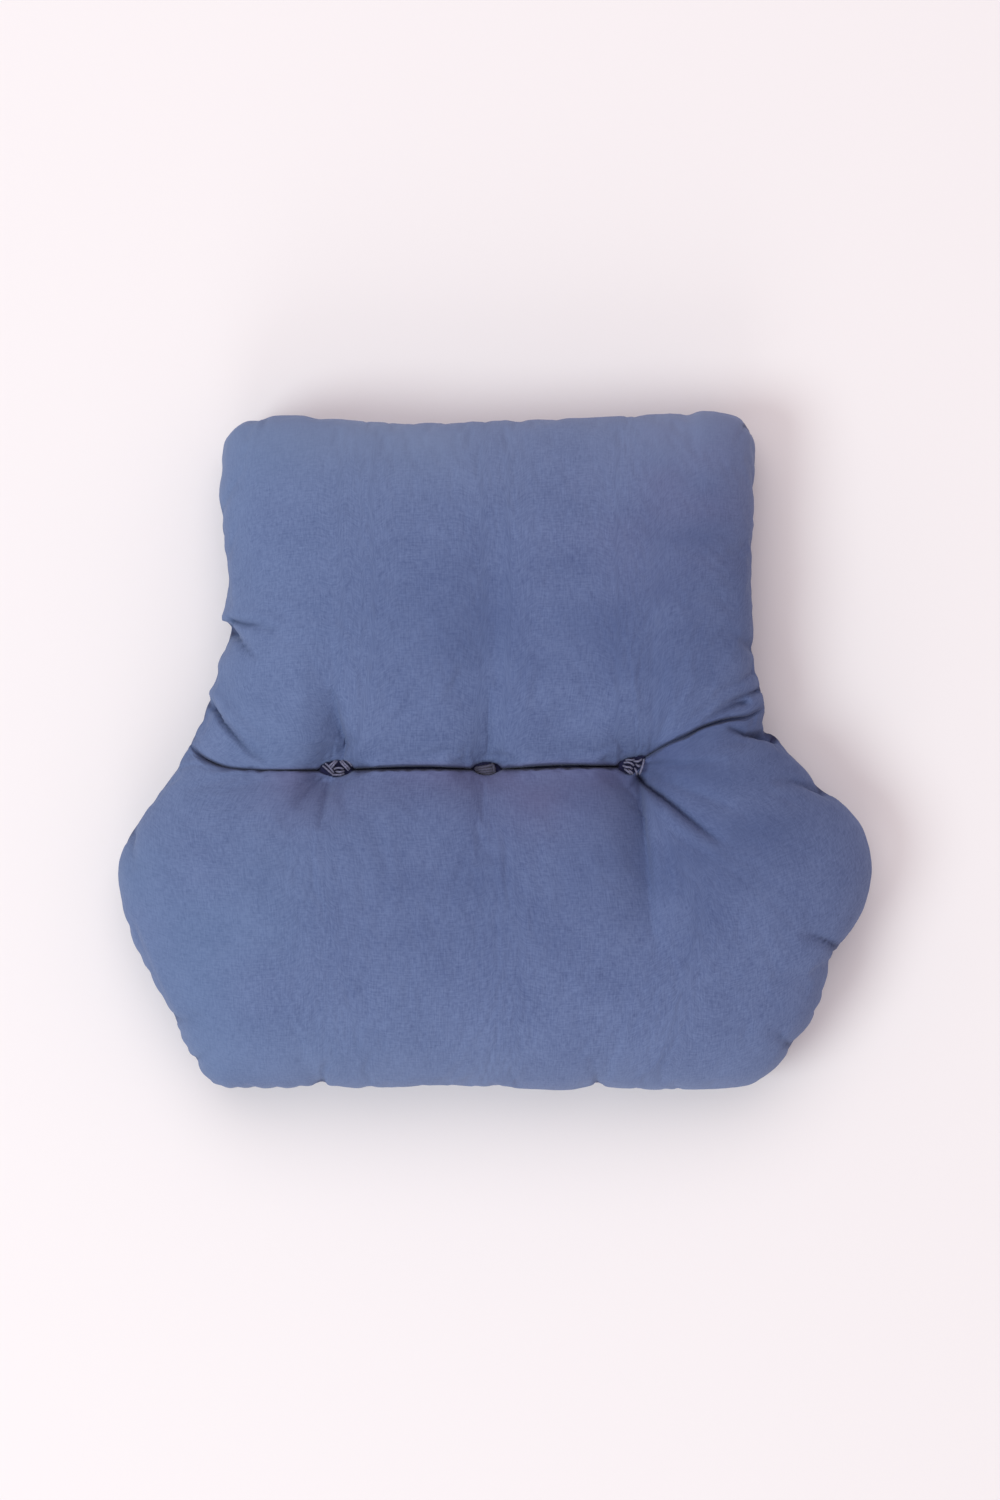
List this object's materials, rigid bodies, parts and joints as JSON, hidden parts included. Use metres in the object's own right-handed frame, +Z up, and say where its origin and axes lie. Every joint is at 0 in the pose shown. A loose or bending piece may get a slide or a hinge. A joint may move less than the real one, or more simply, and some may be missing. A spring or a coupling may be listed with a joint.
{
  "type": "backrest pillow",
  "caption": "Filled cloth backrest pillow with a straight upper lobe and a wider winged lower lobe, drawn together along a crosswise crease by twine tufts.",
  "frame": {"origin": "under the middle of the bounding box, on the surface that the pillow's back rests on", "axes": "+Z up out of the pillow's front, +Y from the wide lower lobe to the narrow upper lobe, +X across the width to the right as seen from the front"},
  "size_m": [0.6012, 0.542, 0.1237],
  "materials": {
    "cloth": "matt brushed cotton, slate blue, plain weave",
    "twine": "matt twisted cotton twine, greyish blue"
  },
  "bodies": {
    "root": {"cushion": "cloth", "tuft_left": "twine", "tuft_centre": "twine", "tuft_right": "twine"}
  },
  "joints": []
}
